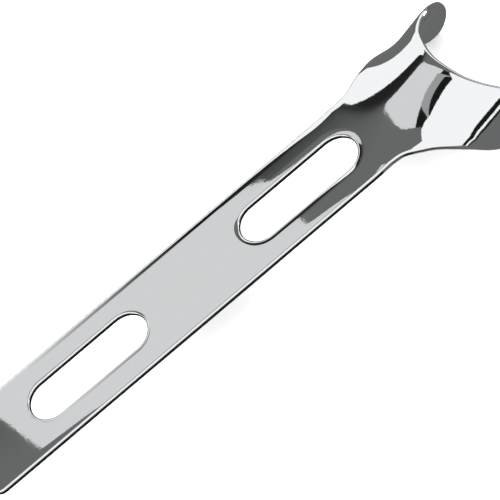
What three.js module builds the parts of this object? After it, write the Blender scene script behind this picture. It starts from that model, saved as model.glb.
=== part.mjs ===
// Hand-held retractor in one piece of polished stainless steel: a flat bar handle with two
// long slots, and a saddle-shaped end. It is made as the real one is: a flat blank is cut
// out with its slots, its edges are rounded, and a die presses the end into the saddle.
//
// Frame, in millimetres: +X runs along the bar to the saddle, +Y across it, and +Z out of
// the front face. The origin is on the bar's back face, midway between the two slots.

import * as THREE from 'three';
import { mergeVertices } from 'three/addons/utils/BufferGeometryUtils.js';

// Sheet
const THICKNESS = 1.8;
const EDGE_ROUND = 0.55;

// Bar
const BAR_WIDTH = 25;
const BAR_END = -67;
const BAR_CORNER = 2.4;

// Slots: straight sides with a half round at each end
const SLOT_WIDTH = 11;
const SLOT_LENGTH = 34;
const SLOT_SPACING = 64;

// Saddle: the centre line rises along a bend and then a straight ramp, while the sheet
// droops to both sides around a cross-section whose radius tightens to the one given.
const RISE_START = 45;
const RISE_END = 66;
const RISE_SLOPE = 0.31;
const DROOP_START = 50;
const DROOP_END = 74;
const DROOP_RADIUS = 22;

// Half of the blank's outline beyond the bar, from the bar's side round the wing to the
// middle of the front edge: how far along, and how far out from the centre line.
const FLARE_START = 52;
const WING_BACK = [[55.4, 13.1], [58.8, 15.1], [62.8, 17.8], [68, 22.9], [73, 29]];
const WING_END = [[78.6, 34.3], [83.4, 35.2], [86.5, 32.2], [86.4, 27.2]];
const WING_FRONT = [[83, 20.5], [79.4, 14.6], [76.8, 8.6]];
const FRONT_MIDDLE = 75.3;

// Facets
const CURVE_STEPS = 4;
const ROUND_STEPS = 2;
const LONGEST_EDGE = 4.5;

const STEEL = new THREE.MeshStandardMaterial({ color: 0xc9cbce, roughness: 0.06, metalness: 1 });

const points = (pairs, side) => pairs.map(([along, out]) => new THREE.Vector2(along, side * out));

// The flat blank: bar, wings and slots, drawn counter-clockwise.
function blankOutline() {
  const half = BAR_WIDTH / 2;
  const wing = [...WING_BACK, ...WING_END, ...WING_FRONT];
  const outline = new THREE.Shape();
  outline.moveTo(BAR_END + BAR_CORNER, -half);
  outline.lineTo(FLARE_START, -half);
  outline.splineThru([
    ...points(wing, -1),
    new THREE.Vector2(FRONT_MIDDLE, 0),
    ...points(wing.toReversed(), 1),
    new THREE.Vector2(FLARE_START, half),
  ]);
  outline.lineTo(BAR_END + BAR_CORNER, half);
  outline.absarc(BAR_END + BAR_CORNER, half - BAR_CORNER, BAR_CORNER, Math.PI / 2, Math.PI);
  outline.absarc(BAR_END + BAR_CORNER, BAR_CORNER - half, BAR_CORNER, Math.PI, Math.PI * 1.5);
  for (const side of [-1, 1]) {
    outline.holes.push(slotOutline(side * SLOT_SPACING / 2));
  }
  return outline;
}

function slotOutline(centre) {
  const radius = SLOT_WIDTH / 2;
  const reach = SLOT_LENGTH / 2 - radius;
  const slot = new THREE.Path();
  slot.moveTo(centre - reach, radius);
  slot.absarc(centre - reach, 0, radius, Math.PI / 2, Math.PI * 1.5);
  slot.absarc(centre + reach, 0, radius, -Math.PI / 2, Math.PI / 2);
  slot.lineTo(centre - reach, radius);
  return slot;
}

// The blank in its full thickness, with every edge rounded, lying on z = 0.
function blankSolid() {
  const solid = new THREE.ExtrudeGeometry(blankOutline(), {
    depth: THICKNESS - 2 * EDGE_ROUND,
    curveSegments: CURVE_STEPS,
    bevelEnabled: true,
    bevelThickness: EDGE_ROUND,
    bevelSize: EDGE_ROUND,
    bevelOffset: -EDGE_ROUND,
    bevelSegments: ROUND_STEPS,
  });
  solid.translate(0, 0, EDGE_ROUND);
  solid.deleteAttribute('normal');
  solid.deleteAttribute('uv');
  return mergeVertices(solid, 1e-3);
}

// Halve each edge that is too long to follow the saddle, until none is left. An edge is
// judged by its own two ends, so both triangles that share it always agree.
function refine(geometry) {
  const position = geometry.getAttribute('position');
  const corners = [];
  for (let i = 0; i < position.count; i += 1) {
    corners.push(new THREE.Vector3().fromBufferAttribute(position, i));
  }
  const middles = new Map();
  const middle = (a, b) => {
    const key = a < b ? `${a}_${b}` : `${b}_${a}`;
    if (!middles.has(key)) {
      middles.set(key, corners.length);
      corners.push(corners[a].clone().add(corners[b]).multiplyScalar(0.5));
    }
    return middles.get(key);
  };
  const excess = (a, b) => {
    const bends = Math.max(corners[a].x, corners[b].x) > RISE_START;
    return bends ? corners[a].distanceTo(corners[b]) - LONGEST_EDGE : 0;
  };

  const waiting = [];
  for (let i = 0; i < geometry.index.count; i += 3) {
    waiting.push([0, 1, 2].map((k) => geometry.index.getX(i + k)));
  }
  const done = [];
  while (waiting.length > 0) {
    const [a, b, c] = waiting.pop();
    const over = [excess(a, b), excess(b, c), excess(c, a)];
    const worst = Math.max(...over);
    if (worst <= 0) {
      done.push(a, b, c);
    } else {
      // Turn the triangle so that its longest edge comes first, then cut it in two.
      const first = over.indexOf(worst);
      const [p, q, r] = [[a, b, c], [b, c, a], [c, a, b]][first];
      const m = middle(p, q);
      waiting.push([p, m, r], [m, q, r]);
    }
  }
  const fine = new THREE.BufferGeometry().setFromPoints(corners);
  fine.setIndex(done);
  return fine;
}

// Height of the saddle's centre line above the flat bar.
function rise(along) {
  const bend = RISE_END - RISE_START;
  const inBend = THREE.MathUtils.clamp(along - RISE_START, 0, bend);
  const onRamp = Math.max(along - RISE_END, 0);
  return RISE_SLOPE * inBend * inBend / (2 * bend) + RISE_SLOPE * onRamp;
}

// A point of the pressed front face, from its place on the flat blank.
function frontFace(along, out) {
  const share = THREE.MathUtils.smoothstep(along, DROOP_START, DROOP_END);
  const height = THICKNESS + rise(along);
  if (share === 0) {
    return new THREE.Vector3(along, out, height);
  }
  const radius = DROOP_RADIUS / share;
  const angle = out / radius;
  return new THREE.Vector3(along, radius * Math.sin(angle), height - radius * (1 - Math.cos(angle)));
}

// Press one point of the blank: it keeps its depth below the front face, square to it.
function pressPoint(flat) {
  const step = 1e-3;
  const surface = frontFace(flat.x, flat.y);
  const forward = frontFace(flat.x + step, flat.y).sub(surface);
  const outward = frontFace(flat.x, flat.y + step).sub(surface);
  const normal = forward.cross(outward).normalize();
  return surface.addScaledVector(normal, flat.z - THICKNESS);
}

function press(geometry) {
  const position = geometry.getAttribute('position');
  const point = new THREE.Vector3();
  for (let i = 0; i < position.count; i += 1) {
    point.fromBufferAttribute(position, i);
    if (point.x > RISE_START) {
      const placed = pressPoint(point);
      position.setXYZ(i, placed.x, placed.y, placed.z);
    }
  }
  return geometry;
}

const retractor = new THREE.Mesh(press(refine(blankSolid())), STEEL);
retractor.name = 'retractor';

const part = new THREE.Group();
part.add(retractor);

export default part;
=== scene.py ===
# %% [markdown]
# # A polished steel retractor
# This lesson builds a hand-held retractor: one strip of stainless steel with two long slots
# and a saddle-shaped end. It has no joints, so there is only one piece to make, and nearly
# all of its look comes from two things: a truly smooth surface, and a studio worth
# reflecting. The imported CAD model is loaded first, as the frame that everything fits.

# %% Load the frame
import math

import bpy
import numpy as np
from mathutils import Matrix, Vector
from mathutils.geometry import delaunay_2d_cdt


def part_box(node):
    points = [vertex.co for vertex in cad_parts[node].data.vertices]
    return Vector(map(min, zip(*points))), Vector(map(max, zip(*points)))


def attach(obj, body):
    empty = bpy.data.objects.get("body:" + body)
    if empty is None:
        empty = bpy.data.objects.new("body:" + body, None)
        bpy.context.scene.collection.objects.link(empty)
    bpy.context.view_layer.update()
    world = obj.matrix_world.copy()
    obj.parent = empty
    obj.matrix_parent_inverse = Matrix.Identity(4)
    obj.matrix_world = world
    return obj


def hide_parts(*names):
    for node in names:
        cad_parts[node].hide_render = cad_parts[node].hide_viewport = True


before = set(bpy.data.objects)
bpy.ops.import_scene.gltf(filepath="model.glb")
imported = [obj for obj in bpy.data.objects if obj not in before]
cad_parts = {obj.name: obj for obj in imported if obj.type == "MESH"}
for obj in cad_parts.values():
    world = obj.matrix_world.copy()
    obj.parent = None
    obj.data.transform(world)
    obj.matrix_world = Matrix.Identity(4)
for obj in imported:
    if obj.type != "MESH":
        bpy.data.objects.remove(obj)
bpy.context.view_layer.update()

MM = 0.001
low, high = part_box("retractor")
print("retractor, mm:", [round((b - a) / MM, 1) for a, b in zip(low, high)])

# %% [markdown]
# ## Camera
# The tool is seen along its bar from well to one side: the bar's front face is turned 40
# degrees away from the camera, and in the picture it climbs to the right. A long lens from
# most of a metre away keeps its edges nearly parallel. Three directions set the camera up:
# `along` follows the bar, `near` points across the view to the side nearer to the viewer,
# and `to_camera` points at the lens. It aims at a point of the bar's front face.

# %% Place the camera
BAR_TURN = math.radians(40.0)
BAR_CLIMB = math.radians(40.2)
CAMERA_DISTANCE = 900 * MM
FRAME_WIDTH = 116.3 * MM
AIM_ALONG = 14.2 * MM
AIM_NEAR = 3.9 * MM
SENSOR = 36.0

FACE_HEIGHT = 1.8 * MM
along = Vector((1, 0, 0))
near = Vector((0, -math.cos(BAR_TURN), -math.sin(BAR_TURN)))
to_camera = Vector((0, -math.sin(BAR_TURN), math.cos(BAR_TURN)))
picture_right = math.cos(BAR_CLIMB) * along + math.sin(BAR_CLIMB) * near
picture_up = math.sin(BAR_CLIMB) * along - math.cos(BAR_CLIMB) * near
aim = Vector((0, 0, FACE_HEIGHT)) + AIM_ALONG * along + AIM_NEAR * near

lens = bpy.data.cameras.new("camera")
lens.sensor_width = SENSOR
lens.lens = SENSOR * CAMERA_DISTANCE / FRAME_WIDTH
camera = bpy.data.objects.new("camera", lens)
bpy.context.scene.collection.objects.link(camera)
turn = Matrix((picture_right, picture_up, to_camera)).transposed()
stand = aim + CAMERA_DISTANCE * to_camera
camera.matrix_world = Matrix.LocRotScale(stand, turn.to_quaternion(), None)
bpy.context.scene.camera = camera
print("focal length, mm:", round(lens.lens))

# %% [markdown]
# ## The flat blank
# The real tool starts as a flat blank, so the mesh does too. Its outline is a chain of
# straight sides, corner arcs and one smooth spline round each wing. The sizes are those of
# the CAD model, in millimetres. A mirror finish shows every facet, so the outline is cut
# into short steps of under half a millimetre.

# %% Sizes of the blank
THICKNESS = 1.8
BAR_WIDTH, BAR_END, BAR_CORNER = 25.0, -67.0, 2.4
SLOT_WIDTH, SLOT_LENGTH, SLOT_SPACING = 11.0, 34.0, 64.0
FLARE_START, FRONT_MIDDLE = 52.0, 75.3
WING_BACK = [(55.4, 13.1), (58.8, 15.1), (62.8, 17.8), (68, 22.9), (73, 29)]
WING_END = [(78.6, 34.3), (83.4, 35.2), (86.5, 32.2), (86.4, 27.2)]
WING_FRONT = [(83, 20.5), (79.4, 14.6), (76.8, 8.6)]
OUTLINE_STEP = 0.4
LEAST_ARC_POINTS = 8
LEAST_SPLINE_STEPS = 4


# %% Draw the outlines
def arc(centre, radius, start, end):
    """Points of an arc, angles in degrees."""
    count = max(LEAST_ARC_POINTS, round(abs(math.radians(end - start)) * radius / OUTLINE_STEP))
    angles = np.radians(np.linspace(start, end, count))
    return np.array(centre) + radius * np.stack([np.cos(angles), np.sin(angles)], axis=1)


def spline(knots):
    """A uniform Catmull-Rom curve through the knots, as the CAD model draws it."""
    knots = np.array([knots[0], *knots, knots[-1]], float)
    pieces = []
    for before, start, end, after in zip(knots, knots[1:], knots[2:], knots[3:]):
        steps = max(LEAST_SPLINE_STEPS, math.ceil(np.linalg.norm(end - start) / OUTLINE_STEP))
        t = np.linspace(0, 1, steps, endpoint=False)[:, None]
        leave, arrive = (end - before) / 2, (after - start) / 2
        pieces.append(
            (2 * t**3 - 3 * t**2 + 1) * start + (t**3 - 2 * t**2 + t) * leave
            + (3 * t**2 - 2 * t**3) * end + (t**3 - t**2) * arrive
        )
    return np.concatenate([*pieces, knots[-1:]])


def evenly(points):
    """The same closed outline with its points evenly spaced."""
    loop = np.vstack([points, points[:1]])
    distance = np.concatenate([[0], np.cumsum(np.linalg.norm(np.diff(loop, axis=0), axis=1))])
    places = np.linspace(0, distance[-1], round(distance[-1] / OUTLINE_STEP), endpoint=False)
    return np.stack([np.interp(places, distance, loop[:, k]) for k in (0, 1)], axis=1)


def blank_outline():
    half = BAR_WIDTH / 2
    wing = [*WING_BACK, *WING_END, *WING_FRONT]
    below = [(x, -y) for x, y in wing]
    knots = [(FLARE_START, -half), *below, (FRONT_MIDDLE, 0), *wing[::-1], (FLARE_START, half)]
    corner = BAR_END + BAR_CORNER
    return evenly(np.concatenate([
        spline(knots),
        arc((corner, half - BAR_CORNER), BAR_CORNER, 90, 180),
        arc((corner, BAR_CORNER - half), BAR_CORNER, 180, 270),
    ]))


def slot_outline(centre):
    """A slot's outline runs the other way round, so that its outside is the steel's outside."""
    radius = SLOT_WIDTH / 2
    reach = SLOT_LENGTH / 2 - radius
    left = arc((centre - reach, 0), radius, 270, 90)
    right = arc((centre + reach, 0), radius, 90, -90)
    return evenly(np.concatenate([left, right]))


outline = blank_outline()
slots = [slot_outline(side * SLOT_SPACING / 2) for side in (-1, 1)]
print("outline points:", len(outline), "slot points:", [len(s) for s in slots])

# %% [markdown]
# ## The rounded edge
# Polishing wheels round an edge over and also pull the face down a little just beside it.
# That soft shoulder is what bends the reflections along the sides of the bar, so it is
# modelled: first a shallow fall over a millimetre and a half, then the round itself, and the same
# again on the back. The round is a little larger than the CAD model's, as polishing leaves
# it. Each ring of the edge is given as how far in it lies from the outline, how deep below
# the front face, and how far its surface leans outwards.

# %% Shape of the edge
EDGE_ROUND = 0.70
SHOULDER_WIDTH = 2.2
SHOULDER_FALL = 0.11
SHOULDER_STEPS = 8
ROUND_STEPS = 12


def edge_rings():
    rings = []
    for share in np.linspace(0, 1, SHOULDER_STEPS, endpoint=False):
        inset = SHOULDER_WIDTH - share * (SHOULDER_WIDTH - EDGE_ROUND)
        slope = 2 * SHOULDER_FALL * share / (SHOULDER_WIDTH - EDGE_ROUND)
        rings.append((inset, SHOULDER_FALL * share**2, math.atan(slope)))
    lean_start = math.atan(2 * SHOULDER_FALL / (SHOULDER_WIDTH - EDGE_ROUND))
    for share in np.linspace(0, 1, ROUND_STEPS):
        lean = lean_start + share * (math.pi / 2 - lean_start)
        fall = (math.cos(lean_start) - math.cos(lean)) / math.cos(lean_start)
        reach = (math.sin(lean) - math.sin(lean_start)) / (1 - math.sin(lean_start))
        depth = SHOULDER_FALL + (EDGE_ROUND - SHOULDER_FALL) * fall
        rings.append((EDGE_ROUND * (1 - reach), depth, lean))
    back = [(inset, THICKNESS - depth, math.pi - lean) for inset, depth, lean in rings[::-1]]
    return rings + back


rings = edge_rings()
print("rings round the edge:", len(rings))

# %% [markdown]
# ## Filling the faces
# Between the innermost rings lies the plain face. A Delaunay fill joins the outline to a
# grid of points, which is fine where the sheet will be bent and left out where it stays
# flat. The fill also covers the slots, so triangles inside them are dropped again.


# %% Fill the flat face
GRID_STEP = 0.7
GRID_MARGIN = 0.6 * GRID_STEP
BENT_FROM = 43.0
FILL_TOLERANCE = 1e-7


def outward(points):
    """Unit vectors pointing out of the steel, in the blank's plane, along an outline."""
    forward = np.roll(points, -1, axis=0) - np.roll(points, 1, axis=0)
    normal = np.stack([forward[:, 1], -forward[:, 0]], axis=1)
    return normal / np.linalg.norm(normal, axis=1, keepdims=True)


def inside(points, loop):
    """Which points lie inside a closed outline, by counting how often a line crosses it."""
    found = np.zeros(len(points), bool)
    for (x1, y1), (x2, y2) in zip(loop, np.roll(loop, -1, axis=0)):
        if y1 != y2:
            spans = (points[:, 1] > y1) != (points[:, 1] > y2)
            crossing = x1 + (points[:, 1] - y1) * (x2 - x1) / (y2 - y1)
            found ^= spans & (points[:, 0] < crossing)
    return found


def fill(loops):
    """Triangles between an outer loop and holes. Returns grid points and triangles."""
    outer = loops[0]
    reach = np.abs(outer[:, 1]).max()
    columns = np.arange(BENT_FROM, outer[:, 0].max(), GRID_STEP)
    rows = np.arange(-reach, reach, GRID_STEP)
    grid = np.stack(np.meshgrid(columns, rows), axis=-1).reshape(-1, 2)
    shrunk = [loop - GRID_MARGIN * outward(loop) for loop in loops]
    free = inside(grid, shrunk[0])
    for hole in shrunk[1:]:
        free &= ~inside(grid, hole)
    grid = grid[free]
    points = np.concatenate([*loops, grid])
    edges, start = [], 0
    for loop in loops:
        ids = np.arange(start, start + len(loop))
        edges += list(zip(ids.tolist(), np.roll(ids, -1).tolist()))
        start += len(loop)
    result = delaunay_2d_cdt([Vector(p) for p in points], edges, [], 0, FILL_TOLERANCE)
    if len(result[0]) != len(points):
        raise ValueError("the fill added points")
    triangles = np.array(result[2])
    middle = points[triangles].mean(axis=1)
    keep = inside(middle, outer)
    for hole in loops[1:]:
        keep &= ~inside(middle, hole)
    return grid, triangles[keep]


loops = [outline, *slots]
face_loops = [loop - SHOULDER_WIDTH * outward(loop) for loop in loops]
grid, triangles = fill(face_loops)
print("grid points:", len(grid), "face triangles:", len(triangles))

# %% [markdown]
# ## Pressing the saddle
# The die is a formula. Along the tool the centre line bends up and then climbs straight;
# across it the sheet droops around a cylinder whose radius tightens towards the front. A
# point keeps its depth below the front face, measured square to it, so the sheet stays
# equally thick. The same step gives each point's exact surface normal, which a mirror
# finish needs more than it needs small triangles.

# %% Press
RISE_START, RISE_END, RISE_SLOPE = 45.0, 66.0, 0.31
DROOP_START, DROOP_END, DROOP_RADIUS = 50.0, 74.0, 22.0
NEARLY_FLAT = 1e-6
NORMAL_STEP = 1e-3


def rise(x):
    bend = RISE_END - RISE_START
    in_bend = np.clip(x - RISE_START, 0, bend)
    return RISE_SLOPE * (in_bend**2 / (2 * bend) + np.maximum(x - RISE_END, 0))


def front_face(flat):
    x, y = flat[:, 0], flat[:, 1]
    share = np.clip((x - DROOP_START) / (DROOP_END - DROOP_START), 0, 1)
    bend = np.maximum(share * share * (3 - 2 * share), NEARLY_FLAT) / DROOP_RADIUS
    drop = (1 - np.cos(bend * y)) / bend
    return np.stack([x, np.sin(bend * y) / bend, THICKNESS + rise(x) - drop], axis=1)


def unit(vectors):
    return vectors / np.linalg.norm(vectors, axis=1, keepdims=True)


def face_normal(flat):
    surface = front_face(flat)
    forward = front_face(flat + [NORMAL_STEP, 0]) - surface
    across = front_face(flat + [0, NORMAL_STEP]) - surface
    return unit(np.cross(forward, across))


def press_ring(loop, inset, depth, lean):
    """One ring of the rounded edge: its points, and the way its surface faces."""
    flat = loop - inset * outward(loop)
    up = face_normal(flat)
    place = front_face(flat) - depth * up
    forward = np.roll(place, -1, axis=0) - np.roll(place, 1, axis=0)
    out = unit(np.cross(forward, up))
    return place, math.cos(lean) * up + math.sin(lean) * out


# %% [markdown]
# ## One closed mesh
# The rings are stitched into bands, and the first and last ring are closed by the front and
# back faces. Every vertex is shared, so the result is a single watertight skin.

# %% Build the retractor
def build_retractor():
    places, normals, faces = [], [], []
    ring_start = {}
    count = 0
    for number, loop in enumerate(loops):
        for level, (inset, depth, lean) in enumerate(rings):
            place, normal = press_ring(loop, inset, depth, lean)
            ring_start[number, level] = count
            places.append(place)
            normals.append(normal)
            count += len(loop)
        for level in range(len(rings) - 1):
            a = ring_start[number, level] + np.arange(len(loop))
            b = ring_start[number, level + 1] + np.arange(len(loop))
            band = np.stack([a, b, np.roll(b, -1), np.roll(a, -1)], axis=1)
            faces += band.tolist()
    up = face_normal(grid)
    top = front_face(grid)
    for side, level in ((1, 0), (-1, len(rings) - 1)):
        ids = [ring_start[n, level] + np.arange(len(loop)) for n, loop in enumerate(loops)]
        ids.append(count + np.arange(len(grid)))
        places.append(top if side > 0 else top - THICKNESS * up)
        normals.append(side * up)
        count += len(grid)
        corners = np.concatenate(ids)[triangles]
        faces += (corners if side > 0 else corners[:, ::-1]).tolist()
    mesh = bpy.data.meshes.new("retractor_steel")
    mesh.from_pydata(np.concatenate(places) * MM, [], faces)
    mesh.validate()
    mesh.shade_smooth()
    mesh.normals_split_custom_set_from_vertices(np.concatenate(normals).tolist())
    piece = bpy.data.objects.new("retractor_steel", mesh)
    bpy.context.scene.collection.objects.link(piece)
    return piece


retractor = build_retractor()
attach(retractor, "root")
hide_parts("retractor")
uses = np.bincount([corner.edge_index for corner in retractor.data.loops])
print("faces:", len(retractor.data.polygons), "edges without two faces:", int((uses != 2).sum()))

# %% [markdown]
# ## Polished stainless steel
# The metal is a chromium-nickel stainless steel, buffed with finer and finer compounds. To
# the eye it is a slightly grey, slightly cool mirror. What gives it away as steel and not
# glassy chrome is what the buffing leaves: hair-fine marks along the bar, a faint ripple that
# makes the edges of reflections waver, and a few pits. Real buffing marks are finer than a
# picture can show, so they are drawn a quarter of a millimetre apart. The colour is a sRGB
# hex value made linear by one function.

# %% Colour and node helpers
def linear(hex_colour):
    """A sRGB hex colour as linear red, green, blue and full alpha."""
    parts = [int(hex_colour[i:i + 2], 16) / 255 for i in (1, 3, 5)]
    curve = [p / 12.92 if p <= 0.04045 else ((p + 0.055) / 1.055) ** 2.4 for p in parts]
    return (*curve, 1.0)


def add_node(tree, kind, links=None, **settings):
    """Adds a node, sets its properties and sockets by name, and links inputs to outputs."""
    node = tree.nodes.new(kind)
    for name, value in settings.items():
        if hasattr(node, name):
            setattr(node, name, value)
        else:
            node.inputs[name.replace("_", " ")].default_value = value
    for name, output in (links or {}).items():
        tree.links.new(output, node.inputs[name])
    return node


# %% Polished stainless steel
BUFF_MARK = 0.25 * MM
BUFF_MARK_LENGTH = 12 * MM
RIPPLE = 0.9 * MM
PIT_SPACING = 5 * MM
PIT_REACH = 0.15 * MM
BUFF_DEPTH = 0.02 * MM
PIT_DEPTH = 0.03 * MM


def polished_stainless():
    steel = bpy.data.materials.new("polished_stainless")
    steel.use_nodes = True
    tree = steel.node_tree
    tree.nodes.clear()
    place = add_node(tree, "ShaderNodeTexCoord").outputs["Object"]
    stretched = add_node(
        tree, "ShaderNodeMapping", {"Vector": place},
        Scale=(1 / BUFF_MARK_LENGTH, 1 / BUFF_MARK, 1 / BUFF_MARK))
    marks = add_node(
        tree, "ShaderNodeTexNoise", {"Vector": stretched.outputs["Vector"]}, Scale=1.0, Detail=3.0)
    ripple = add_node(
        tree, "ShaderNodeTexNoise", {"Vector": place}, Scale=1 / RIPPLE, Detail=2.0)
    pits = add_node(
        tree, "ShaderNodeTexVoronoi", {"Vector": place}, feature="F1", Scale=1 / PIT_SPACING)
    pit_depth = add_node(
        tree, "ShaderNodeMapRange", {"Value": pits.outputs["Distance"]},
        From_Min=0.0, From_Max=PIT_REACH / PIT_SPACING, To_Min=0.0, To_Max=1.0)
    buffed = add_node(
        tree, "ShaderNodeBump", {"Height": marks.outputs["Fac"]},
        Strength=0.02, Distance=BUFF_DEPTH)
    rippled = add_node(
        tree, "ShaderNodeBump",
        {"Height": ripple.outputs["Fac"], "Normal": buffed.outputs["Normal"]},
        Strength=0.15, Distance=BUFF_DEPTH)
    pitted = add_node(
        tree, "ShaderNodeBump",
        {"Height": pit_depth.outputs["Result"], "Normal": rippled.outputs["Normal"]},
        Strength=0.3, Distance=PIT_DEPTH)
    sheen = add_node(
        tree, "ShaderNodeMapRange", {"Value": marks.outputs["Fac"]},
        From_Min=0.3, From_Max=0.7, To_Min=0.02, To_Max=0.06)
    shader = add_node(
        tree, "ShaderNodeBsdfPrincipled",
        {"Normal": pitted.outputs["Normal"], "Roughness": sheen.outputs["Result"]},
        Base_Color=linear("#e3e5e6"), Metallic=1.0)
    add_node(tree, "ShaderNodeOutputMaterial", {"Surface": shader.outputs["BSDF"]})
    return steel


retractor.data.materials.append(polished_stainless())
print("finish:", retractor.data.materials[0].name)

# %% [markdown]
# ## The studio
# A mirror shows its surroundings, so the surroundings are the picture. The tool lies on a
# plain pale floor. Around it stands a light tent: white, grey and black cards bent around
# the tool like the staves of a barrel. A place on the tent is given by how far along the
# tool it is, in millimetres, and by an angle, from the far side's horizon (0 degrees) over
# the top to the near side's (180). A card fills the space between two edges, each a chain
# of such places. Cards that overlap hang in layers, and the nearer one hides the other. The
# cards are seen by reflections only, so they neither shade the floor nor show in the picture.

# %% Studio helpers
TENT_RADIUS = 115.0
TENT_REACH = 400.0
CARD_STEPS = 8
tent = []


def glow(name, brightness=1.0):
    """A material that glows white, as bright as it is told."""
    surface = bpy.data.materials.new(name)
    surface.use_nodes = True
    tree = surface.node_tree
    tree.nodes.clear()
    light = add_node(tree, "ShaderNodeEmission", Color=linear("#ffffff"), Strength=brightness)
    add_node(tree, "ShaderNodeOutputMaterial", {"Surface": light.outputs["Emission"]})
    return surface


def reflected_only(thing):
    """A studio card that only mirror-like surfaces see."""
    thing.visible_camera = False
    thing.visible_diffuse = False
    thing.visible_shadow = False


def tent_card(name, brightness, edge, other_edge, layer=0):
    """A card between two edges with equally many points.

    The brightness is one number, or one for each point along the edge. The layer is how many
    millimetres the card hangs inside the tent.
    """
    chains = [np.array(chain, float) for chain in (edge, other_edge)]
    knots = np.arange(len(edge))
    stops = np.linspace(0, knots[-1], knots[-1] * CARD_STEPS + 1)
    sides = [
        np.stack([np.interp(stops, knots, chain[:, k]) for k in (0, 1)], axis=1) for chain in chains
    ]
    shares = np.linspace(0, 1, CARD_STEPS + 1)
    places = np.concatenate([(1 - share) * sides[0] + share * sides[1] for share in shares])
    angle = np.radians(places[:, 1])
    radius = TENT_RADIUS - layer
    points = np.stack([places[:, 0], radius * np.cos(angle), radius * np.sin(angle)], axis=1)
    width = len(stops)
    quads = [
        (row * width + k, row * width + k + 1, (row + 1) * width + k + 1, (row + 1) * width + k)
        for row in range(CARD_STEPS) for k in range(width - 1)
    ]
    mesh = bpy.data.meshes.new(name)
    mesh.from_pydata(points * MM, [], quads)
    levels = np.interp(stops, knots, np.broadcast_to(brightness, knots.shape))
    values = mesh.attributes.new("glow", "FLOAT", "POINT")
    values.data.foreach_set("value", np.tile(levels, CARD_STEPS + 1).astype(np.float32))
    surface = glow(name)
    shine = add_node(surface.node_tree, "ShaderNodeAttribute", attribute_name="glow")
    light = surface.node_tree.nodes["Emission"]
    surface.node_tree.links.new(shine.outputs["Fac"], light.inputs["Strength"])
    mesh.materials.append(surface)
    card = bpy.data.objects.new(name, mesh)
    bpy.context.scene.collection.objects.link(card)
    reflected_only(card)
    tent.append(card)


def tent_strip(name, brightness, angles, layer=0):
    """A card that runs the tent's whole length, over a chain of angles."""
    ends = (-TENT_REACH, TENT_REACH)
    tent_card(name, brightness, [(ends[0], e) for e in angles], [(ends[1], e) for e in angles], layer)


# %% Light tent
NEAR_BLACK, DARK_GREY, MID_GREY, LIGHT_GREY, WHITE = 0.012, 0.17, 0.40, 0.80, 1.15
FILL, BLACK_BAND, GREY_FLAG, GREY_STRIP, SOFTBOX, LINE = 1, 1.5, 2, 2.5, 3, 4

# The soft boxes over the far and near sides, and the dark flags under and between them.
line_path = [(-TENT_REACH, 169), (50, 169), (60, 168.5), (105, 164), (138, 148), (TENT_REACH, 141)]


def beside_line(shift):
    return [(x, angle + shift) for x, angle in line_path]


tent_strip("top_black_flag", NEAR_BLACK, [74, 99])
white_until = [(-TENT_REACH, 32), (26, 32), (34, 34), (41, 38.5), (47, 43.5), (TENT_REACH, 45.5)]
tent_card("far_softbox", WHITE, [(x, 5) for x, _ in white_until], white_until, SOFTBOX)
tent_strip("far_low_flag", DARK_GREY, [-11, 5], SOFTBOX)
white_from = [(-TENT_REACH, 99), (32, 99), (40, 96), (48, 90), (56, 87), (TENT_REACH, 87)]
tent_card("top_softbox", WHITE, white_from, beside_line(-8), SOFTBOX)
below_horizon = [(x, 191) for x, _ in line_path]
tent_card("near_grey_flag", DARK_GREY, beside_line(3), below_horizon, SOFTBOX)

# A thin light line between two black ones, low on the near side.
for name, brightness, first, last in [
    ("near_black_flag", NEAR_BLACK, -8, -2),
    ("near_light_line", WHITE, -2, 1),
    ("near_black_line", NEAR_BLACK, 1, 4),
]:
    tent_card(name, brightness, beside_line(first), beside_line(last), LINE)

# The light grey fill that the bar mirrors, and the grey flags beyond its two ends. The flags
# darken to black towards the far horizon.
lower_end = [
    (-80, 30), (-75, 43), (-70, 45.2), (-65.5, 46.6), (-63.5, 49), (-61.5, 54),
    (-58, 58), (-53, 62), (-45, 68), (-37, 80),
]
upper_end = [
    (12, 30), (15, 43), (21, 45.2), (28.5, 46.6), (29.5, 49), (29.5, 54),
    (32, 58), (36, 62), (41, 67), (48, 80),
]
tent_card("grey_fill", LIGHT_GREY, lower_end, upper_end, FILL)

grey_levels = [NEAR_BLACK, 0.02, 0.04, 0.09, 0.14] + 6 * [DARK_GREY]
grey_from = [*upper_end, (60, 99)]
tent_end = [(TENT_REACH, angle) for _, angle in grey_from]
tent_card("upper_grey_flag", grey_levels, grey_from, tent_end, GREY_FLAG)
grey_until = [*lower_end, (-26, 88)]
tent_start = [(-TENT_REACH, angle) for _, angle in grey_until]
tent_card("lower_grey_flag", grey_levels, tent_start, grey_until, GREY_FLAG)

# A black band along the far side, fading out towards the bar's end, and a narrow grey strip
# beside the black flag overhead.
black_levels = [0.78, 0.40, 0.08, NEAR_BLACK, NEAR_BLACK]
black_stops = [-50, -30, -10, 5, TENT_REACH]
black_from = [(x, 30) for x in black_stops]
black_until = [(x, 42.5) for x in black_stops]
tent_card("far_black_flag", black_levels, black_from, black_until, BLACK_BAND)

mid_first = [(-TENT_REACH, 76), (20, 76.5), (27, 81), (38, 90), (52, 97)]
mid_last = [(-TENT_REACH, 88), (20, 88), (27, 89), (38, 93), (52, 99)]
tent_card("mid_grey_strip", MID_GREY, mid_first, mid_last, GREY_STRIP)
print("cards in the tent:", len(tent))

# %% [markdown]
# ## Floor and soft light
# The floor is a large matt sheet just under the lowest point of the wings. A grey ground
# card lies just above it for the reflections: the undersides and the drooping wings mirror
# it, which is what keeps them readable against a pale floor. A smaller black card on top of
# it darkens what the bar's lower rims mirror. An even pale sky gives the light, with one
# large soft lamp above to lay a faint shadow. Sizes are in metres here.

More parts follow.
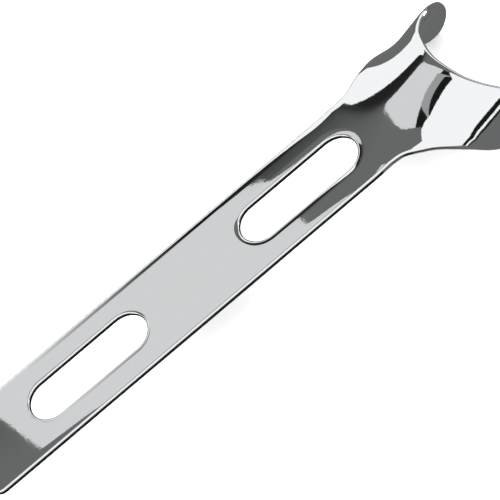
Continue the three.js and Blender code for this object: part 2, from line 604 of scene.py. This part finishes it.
# %% Floor, ground card, sky and lamp
FLOOR_SIZE = 6.0
FLOOR_GAP = 0.2 * MM
CARD_LIFT = 0.3 * MM
GREY_CARD_SIZE = 0.4
BLACK_CARD_SIZE = 0.17
BLACK_CARD_CENTRE = -0.035
SKY_STRENGTH = 2.4
LAMP_SIZE = 0.9
LAMP_POWER = 1.2
LAMP_PLACE = (0.1, 0.1, 1.2)


def level_sheet(name, height, size, surface, centre=0.0):
    """A square sheet, level with the ground; centre is its middle's place along the tool."""
    half = size / 2
    corners = [(centre + a * half, b * half, height) for a, b in ((-1, -1), (1, -1), (1, 1), (-1, 1))]
    mesh = bpy.data.meshes.new(name)
    mesh.from_pydata(corners, [], [(0, 1, 2, 3)])
    mesh.materials.append(surface)
    sheet = bpy.data.objects.new(name, mesh)
    bpy.context.scene.collection.objects.link(sheet)
    return sheet


def matt_paper():
    paper = bpy.data.materials.new("matt_paper")
    paper.use_nodes = True
    shader = paper.node_tree.nodes["Principled BSDF"]
    shader.inputs["Base Color"].default_value = linear("#fbfbfb")
    shader.inputs["Roughness"].default_value = 0.9
    return paper


floor_height = low.z - FLOOR_GAP
level_sheet("floor", floor_height, FLOOR_SIZE, matt_paper())
grey_glow = glow("ground_card", DARK_GREY)
reflected_only(level_sheet("ground_card", floor_height + CARD_LIFT, GREY_CARD_SIZE, grey_glow))
black_glow = glow("black_ground_card", NEAR_BLACK)
reflected_only(level_sheet(
    "black_ground_card", floor_height + 2 * CARD_LIFT, BLACK_CARD_SIZE, black_glow, BLACK_CARD_CENTRE))
print("floor height, mm:", round(floor_height / MM, 1))

world = bpy.data.worlds.new("pale_sky")
world.use_nodes = True
sky = world.node_tree.nodes["Background"]
sky.inputs["Color"].default_value = linear("#ffffff")
sky.inputs["Strength"].default_value = SKY_STRENGTH
bpy.context.scene.world = world

lamp_data = bpy.data.lights.new("soft_lamp", "AREA")
lamp_data.shape = "DISK"
lamp_data.size = LAMP_SIZE
lamp_data.energy = LAMP_POWER
lamp = bpy.data.objects.new("soft_lamp", lamp_data)
lamp.location = LAMP_PLACE
lamp.visible_glossy = False
bpy.context.scene.collection.objects.link(lamp)

bpy.context.scene.view_settings.view_transform = "Standard"

# %% Update the scene
bpy.context.view_layer.update()
